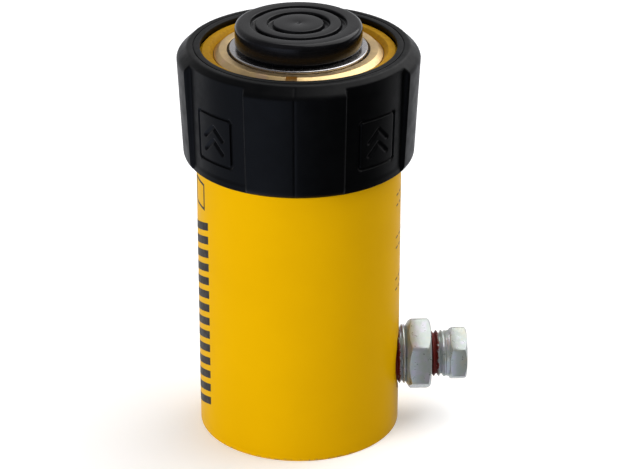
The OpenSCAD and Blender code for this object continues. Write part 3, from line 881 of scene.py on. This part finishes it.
def make_marks():
    """Plain slanted bars under a plain frame on one side, and pairs of thin broken rules on the other."""
    left, right = -181.0, -153.0
    slant, bar, step = 4.6, 2.4, 4.2
    stripes = []
    for i in range(14):
        z = 5.5 + i * step
        stripes.append([(left, z), (right, z + slant), (right, z + slant + bar), (left, z + bar)])
    low, high, line, thin = 70.0, 78.0, 0.7, 1.4
    start, stop = left + 8, right - 4
    for a0, a1, z0, z1 in (
        (start, stop, low, low + line), (start, stop, high - line, high),
        (start, start + thin, low + line, high - line), (stop - thin, stop, low + line, high - line),
    ):
        stripes.append([(a0, z0), (a1, z0), (a1, z1), (a0, z1)])
    printed_patches("side_stripes", stripes)
    dash, tall, apart = 3.6, 0.45, 3.2
    dashes = []
    for height in (44.0, 57.0, 70.0):
        for i in range(6):
            a = -20.0 + 6.0 * i
            for z in (height, height + apart):
                dashes.append([(a, z), (a + dash, z), (a + dash, z + tall), (a, z + tall)])
    printed_patches("data_rules", dashes)


# CAD nodes that show as they are ------------------------------------------------------------

def coat_cad_nodes():
    finishes = {
        "rod_wiper": polymer("wiper_rubber", (0.02, 0.018, 0.016), 0.5),
        "rod_bearing": polymer("bronze_ptfe", (0.25, 0.16, 0.07), 0.5, (0.42, 0.27, 0.12), 0.5),
        "spring_anchor": drawn_metal("turned_steel", (0.36, 0.36, 0.37), 0.35),
        "anchor_screw": black_oxide("screw_black"),
        "seal_washer": drawn_metal("copper", (0.72, 0.36, 0.22), 0.3),
        "lower_spring_pin": ground_steel("pin_steel"),
        "piston_bearing": polymer("phenolic", (0.2, 0.1, 0.04), 0.55, (0.3, 0.17, 0.08), 0.7),
        "piston_seal": polymer("urethane", (0.025, 0.1, 0.3), 0.35, (0.03, 0.13, 0.36), 3.0),
        "backup_ring": polymer("ptfe", (0.78, 0.78, 0.75), 0.45, (0.7, 0.7, 0.66), 2.0),
        "spring_plug_seal": polymer("nitrile", (0.012, 0.012, 0.013), 0.5),
        "saddle_snap_ring": drawn_metal("snap_wire", (0.2, 0.2, 0.21), 0.35),
    }
    finishes["spring_plug"] = finishes["spring_anchor"]
    finishes["upper_spring_pin"] = finishes["lower_spring_pin"]
    for node, material in finishes.items():
        coat(frame["nodes"][node], material)


# Studio -------------------------------------------------------------------------------------

CAMERA_YAW = 1.5
CAMERA_PITCH = 25.07
CAMERA_SIDE, CAMERA_BACK, CAMERA_HEIGHT = 3.8, 706.2, 387.6
CAMERA_LENS = 159.05
LIGHT_AIM = Vector((0, 0, 0.06))
FLOOR_HALF = 3.0


def make_camera():
    yaw, pitch = math.radians(CAMERA_YAW), math.radians(CAMERA_PITCH)
    ahead = Vector((math.sin(yaw), math.cos(yaw), 0))
    aside = Vector((math.cos(yaw), -math.sin(yaw), 0))
    camera = bpy.data.objects.new("camera", bpy.data.cameras.new("camera"))
    bpy.context.scene.collection.objects.link(camera)
    camera.location = (aside * CAMERA_SIDE - ahead * CAMERA_BACK + Vector((0, 0, CAMERA_HEIGHT))) * MM
    gaze = ahead * math.cos(pitch) - Vector((0, 0, math.sin(pitch)))
    camera.rotation_euler = gaze.to_track_quat("-Z", "Y").to_euler()
    camera.data.sensor_width = 36
    camera.data.lens = CAMERA_LENS
    camera.data.clip_start = 0.05
    camera.data.clip_end = 20
    bpy.context.scene.camera = camera


def softbox(name, place, power, width, height):
    """Rectangular light turned towards the middle of the object."""
    data = bpy.data.lights.new(name, "AREA")
    data.shape = "RECTANGLE"
    data.size, data.size_y = width, height
    data.energy = power
    light = bpy.data.objects.new(name, data)
    bpy.context.scene.collection.objects.link(light)
    light.location = place
    light.rotation_euler = (LIGHT_AIM - Vector(place)).to_track_quat("-Z", "Y").to_euler()
    return light


def make_world():
    """Studio walls: white behind the object, and in front a dark room with a pale card on its left."""
    world = bpy.data.worlds.new("studio")
    bpy.context.scene.world = world
    world.use_nodes = True
    tree = world.node_tree
    coords = tree.nodes.new("ShaderNodeTexCoord")
    split = tree.nodes.new("ShaderNodeSeparateXYZ")
    tree.links.new(coords.outputs["Generated"], split.inputs[0])

    def share(socket, low, high):
        node = tree.nodes.new("ShaderNodeMapRange")
        node.interpolation_type = "SMOOTHSTEP"
        node.inputs["From Min"].default_value = low
        node.inputs["From Max"].default_value = high
        tree.links.new(socket, node.inputs["Value"])
        return node.outputs[0]

    def mix(amount, a, b):
        node = tree.nodes.new("ShaderNodeMix")
        node.data_type = "RGBA"
        tree.links.new(amount, node.inputs["Factor"])
        sockets = [socket for socket in node.inputs if socket.type == "RGBA"]
        for value, socket in zip((a, b), sockets):
            if isinstance(value, tuple):
                socket.default_value = (*value, 1)
            else:
                tree.links.new(value, socket)
        return next(socket for socket in node.outputs if socket.type == "RGBA")

    aside, back, up = split.outputs
    card = mix(share(aside, -1.0, -0.65), (0.22, 0.24, 0.3), (0.7, 0.8, 1.05))
    front_low = mix(share(aside, -0.35, 0.12), card, (0.02, 0.022, 0.025))
    front_high = mix(share(aside, -0.6, 0.6), (0.2, 0.2, 0.22), (0.07, 0.07, 0.075))
    front = mix(share(up, -0.1, 0.15), front_low, front_high)
    behind = mix(share(up, -0.1, 0.2), (0.95, 0.96, 1.0), (0.5, 0.5, 0.51))
    tree.links.new(mix(share(back, 0.05, 0.55), front, behind), tree.nodes["Background"].inputs["Color"])


def make_studio():
    corners = [(FLOOR_HALF * x, FLOOR_HALF * y, 0) for x, y in ((-1, -1), (1, -1), (1, 1), (-1, 1))]
    mesh = bpy.data.meshes.new("studio_floor")
    mesh.from_pydata(corners, [], [(0, 1, 2, 3)])
    studio_floor = bpy.data.objects.new("studio_floor", mesh)
    bpy.context.scene.collection.objects.link(studio_floor)
    coat(studio_floor, pale_floor())
    studio_floor.visible_glossy = False
    make_world()
    key = softbox("key_left", (-0.95, -0.85, 0.36), 14.5, 0.7, 0.6)
    key.visible_glossy = False
    softbox("overhead", (0.44, 0.2, 0.8), 11.5, 1.2, 1.2)
    bpy.context.scene.view_settings.view_transform = "Standard"


make_camera()
make_studio()
make_body()
make_stop_ring()
make_plunger()
make_saddle()
make_guard()
make_bushing()
make_plug()
make_spring()
make_marks()
coat_cad_nodes()
